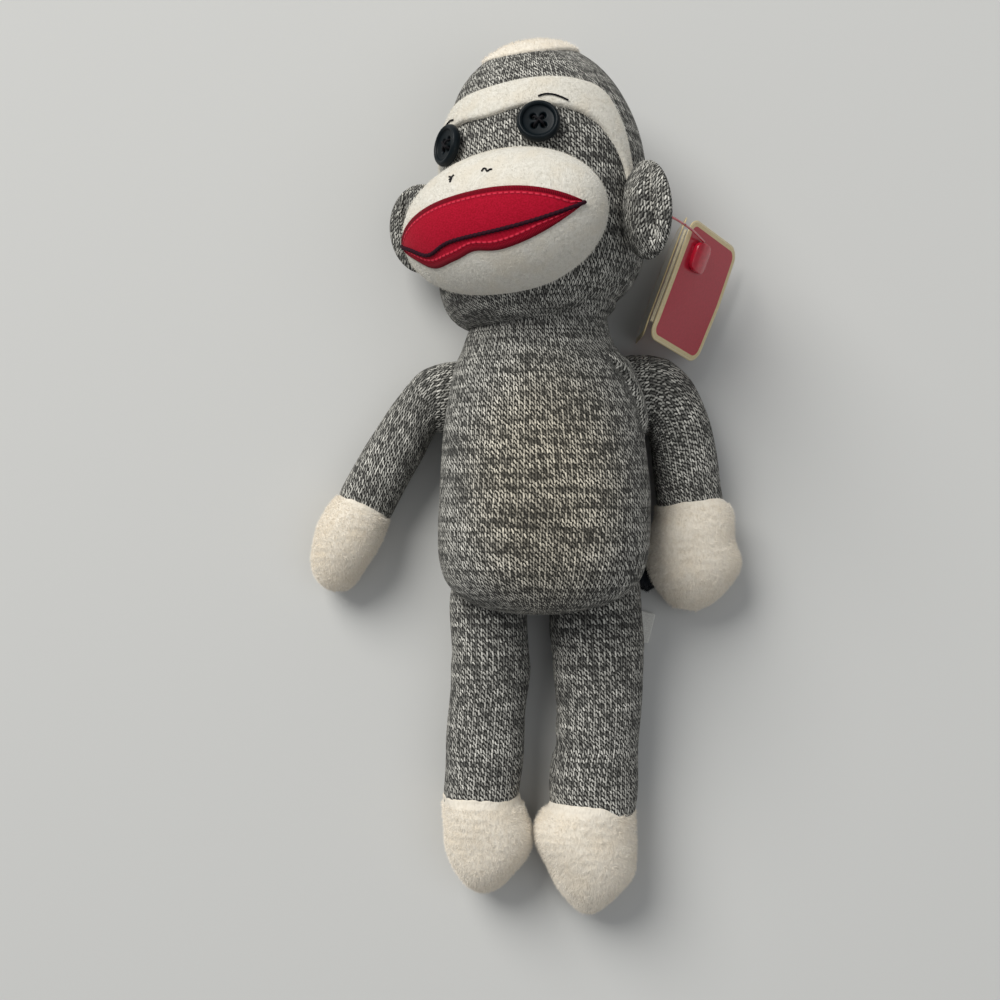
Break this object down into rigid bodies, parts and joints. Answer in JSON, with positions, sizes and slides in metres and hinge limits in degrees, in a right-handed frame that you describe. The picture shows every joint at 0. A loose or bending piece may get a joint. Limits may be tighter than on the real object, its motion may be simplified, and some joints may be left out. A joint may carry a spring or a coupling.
{
  "type": "sock monkey doll",
  "caption": "Soft stuffed knit monkey doll lying on its back, with plush muzzle, hands and feet, button eyes and a folded swing tag tied to one ear.",
  "frame": {"origin": "on the flat under the middle of the doll's back, where it rests", "axes": "+Z out of the chest, +Y to the crown, +X to the doll's own left"},
  "size_m": [0.1254, 0.2516, 0.0743],
  "materials": {
    "grey_knit": "knit",
    "white_plush": "short pile",
    "cream_plush": "long pile",
    "red_felt": "felt",
    "black_thread": "twisted thread",
    "black_plush": "short pile",
    "black_button": "gloss",
    "red_plastic": "gloss",
    "red_card": "coated card",
    "white_card": "card",
    "label_cloth": "woven tape",
    "polyester_filling": "loose fibre",
    "pellet_bag": "thin cloth"
  },
  "bodies": {
    "torso": {"torso_knit": "grey_knit", "torso_stuffing": "polyester_filling", "pellet_pouch": "pellet_bag"},
    "neck": {"neck_sleeve": "grey_knit"},
    "neck_gather": {"neck_thread": "black_thread"},
    "head": {"head_knit": "grey_knit", "head_stuffing": "polyester_filling", "muzzle": "white_plush", "brow_band": "white_plush", "crown_patch": "cream_plush", "upper_lip": "red_felt", "lower_lip": "red_felt", "mouth_line": "black_thread", "left_nostril_stitch": "black_thread", "right_nostril_stitch": "black_thread", "left_eyebrow_stitch": "black_thread", "right_eyebrow_stitch": "black_thread", "left_eye_button": "black_button", "right_eye_button": "black_button", "left_eye_thread": "black_thread", "right_eye_thread": "black_thread"},
    "left_ear": {"left_ear": "grey_knit", "tack_bar": "red_plastic", "tack_filament": "red_plastic"},
    "right_ear": {"right_ear": "grey_knit"},
    "tag_back": {"tag_back": "white_card"},
    "tag_front": {"tag_front": "red_card", "tack_paddle": "red_plastic"},
    "tail": {"tail": "grey_knit", "tail_tip": "black_plush"},
    "sewn_label": {"sewn_label": "label_cloth"},
    "left_shoulder": {"left_shoulder": "grey_knit"},
    "left_arm": {"left_arm": "grey_knit"},
    "left_hand": {"left_hand": "cream_plush"},
    "left_hip": {"left_hip": "grey_knit"},
    "left_leg": {"left_leg": "grey_knit"},
    "left_foot": {"left_foot": "cream_plush"},
    "right_shoulder": {"right_shoulder": "grey_knit"},
    "right_arm": {"right_arm": "grey_knit"},
    "right_hand": {"right_hand": "cream_plush"},
    "right_hip": {"right_hip": "grey_knit"},
    "right_leg": {"right_leg": "grey_knit"},
    "right_foot": {"right_foot": "cream_plush"}
  },
  "joints": [
    {"name": "neck_nod", "type": "hinge", "parent": "torso", "child": "neck", "pos_m": [0.001, 0.0455, 0.0283], "axis": [1, 0, 0], "range_deg": [-15, 15], "deforming": ["neck_sleeve", "neck_thread"]},
    {"name": "neck_tilt", "type": "hinge", "parent": "neck", "child": "neck_gather", "pos_m": [0.001, 0.0455, 0.0283], "axis": [0, 0, 1], "range_deg": [-8, 12], "deforming": ["neck_sleeve", "neck_thread"]},
    {"name": "neck_turn", "type": "hinge", "parent": "neck_gather", "child": "head", "pos_m": [0.001, 0.0455, 0.0283], "axis": [0, 1, 0], "range_deg": [-18, 78], "deforming": ["neck_sleeve", "neck_thread"]},
    {"name": "left_ear_fold", "type": "hinge", "parent": "head", "child": "left_ear", "pos_m": [0.02269, 0.07018, 0.04467], "axis": [0.0817, -0.9941, 0.0715], "range_deg": [-8, 14], "stiffness_Nm_per_rad": 0.01},
    {"name": "right_ear_fold", "type": "hinge", "parent": "head", "child": "right_ear", "pos_m": [-0.02534, 0.07402, 0.01335], "axis": [-0.0817, 0.9941, -0.0715], "range_deg": [-30, 15], "stiffness_Nm_per_rad": 0.01},
    {"name": "tag_swing", "type": "hinge", "parent": "left_ear", "child": "tag_back", "pos_m": [0.02855, 0.06935, 0.05439], "axis": [0, 0, 1], "range_deg": [0, 45], "deforming": ["tack_filament"]},
    {"name": "tag_fold", "type": "hinge", "parent": "tag_back", "child": "tag_front", "pos_m": [0.0412, 0.0744, 0.0283], "axis": [-0.3502, -0.9367, 0], "range_deg": [-37, 90], "stiffness_Nm_per_rad": 0.002, "deforming": ["tack_filament"]},
    {"name": "left_shoulder_raise", "type": "hinge", "parent": "torso", "child": "left_shoulder", "pos_m": [0.031, 0.0245, 0.0099], "axis": [0, 0, 1], "range_deg": [0, 50], "deforming": ["left_shoulder"]},
    {"name": "left_arm_swing", "type": "hinge", "parent": "left_shoulder", "child": "left_arm", "pos_m": [0.031, 0.0245, 0.0099], "axis": [-1, 0, 0], "range_deg": [0, 90], "deforming": ["left_shoulder"]},
    {"name": "left_wrist", "type": "hinge", "parent": "left_arm", "child": "left_hand", "pos_m": [0.04396, -0.01221, 0.0088], "axis": [-1, 0, 0], "range_deg": [-14, 25]},
    {"name": "left_hip_lift", "type": "hinge", "parent": "torso", "child": "left_hip", "pos_m": [0.01573, -0.0505, 0.012], "axis": [-1, 0, 0], "range_deg": [0, 90], "deforming": ["left_hip"]},
    {"name": "left_leg_spread", "type": "hinge", "parent": "left_hip", "child": "left_leg", "pos_m": [0.01573, -0.0505, 0.012], "axis": [0, 0, 1], "range_deg": [0, 35], "deforming": ["left_hip"]},
    {"name": "left_ankle", "type": "hinge", "parent": "left_leg", "child": "left_foot", "pos_m": [0.01458, -0.10424, 0.0127], "axis": [-1, 0, 0], "range_deg": [-25, 25]},
    {"name": "right_shoulder_raise", "type": "hinge", "parent": "torso", "child": "right_shoulder", "pos_m": [-0.031, 0.0245, 0.00778], "axis": [0, 0, -1], "range_deg": [0, 50], "deforming": ["right_shoulder"]},
    {"name": "right_arm_swing", "type": "hinge", "parent": "right_shoulder", "child": "right_arm", "pos_m": [-0.031, 0.0245, 0.00778], "axis": [-1, 0, 0], "range_deg": [0, 90], "deforming": ["right_shoulder"]},
    {"name": "right_wrist", "type": "hinge", "parent": "right_arm", "child": "right_hand", "pos_m": [-0.05297, -0.01174, 0.0088], "axis": [-1, 0, 0], "range_deg": [-25, 25]},
    {"name": "right_hip_lift", "type": "hinge", "parent": "torso", "child": "right_hip", "pos_m": [-0.01599, -0.0505, 0.0113], "axis": [-1, 0, 0], "range_deg": [0, 90], "deforming": ["right_hip"]},
    {"name": "right_leg_spread", "type": "hinge", "parent": "right_hip", "child": "right_leg", "pos_m": [-0.01599, -0.0505, 0.0113], "axis": [0, 0, -1], "range_deg": [0, 35], "deforming": ["right_hip"]},
    {"name": "right_ankle", "type": "hinge", "parent": "right_leg", "child": "right_foot", "pos_m": [-0.01746, -0.10027, 0.012], "axis": [-1, 0, 0], "range_deg": [-25, 25]},
    {"name": "tail_lift", "type": "hinge", "parent": "torso", "child": "tail", "pos_m": [0.0215, -0.011, 0.0037], "axis": [0.8671, 0.4981, 0], "range_deg": [0, 60], "stiffness_Nm_per_rad": 0.002},
    {"name": "label_flap", "type": "hinge", "parent": "torso", "child": "sewn_label", "pos_m": [0.0234, -0.0415, 0.0005], "axis": [0.2421, 0.9703, 0], "range_deg": [0, 60], "stiffness_Nm_per_rad": 0.0002}
  ]
}
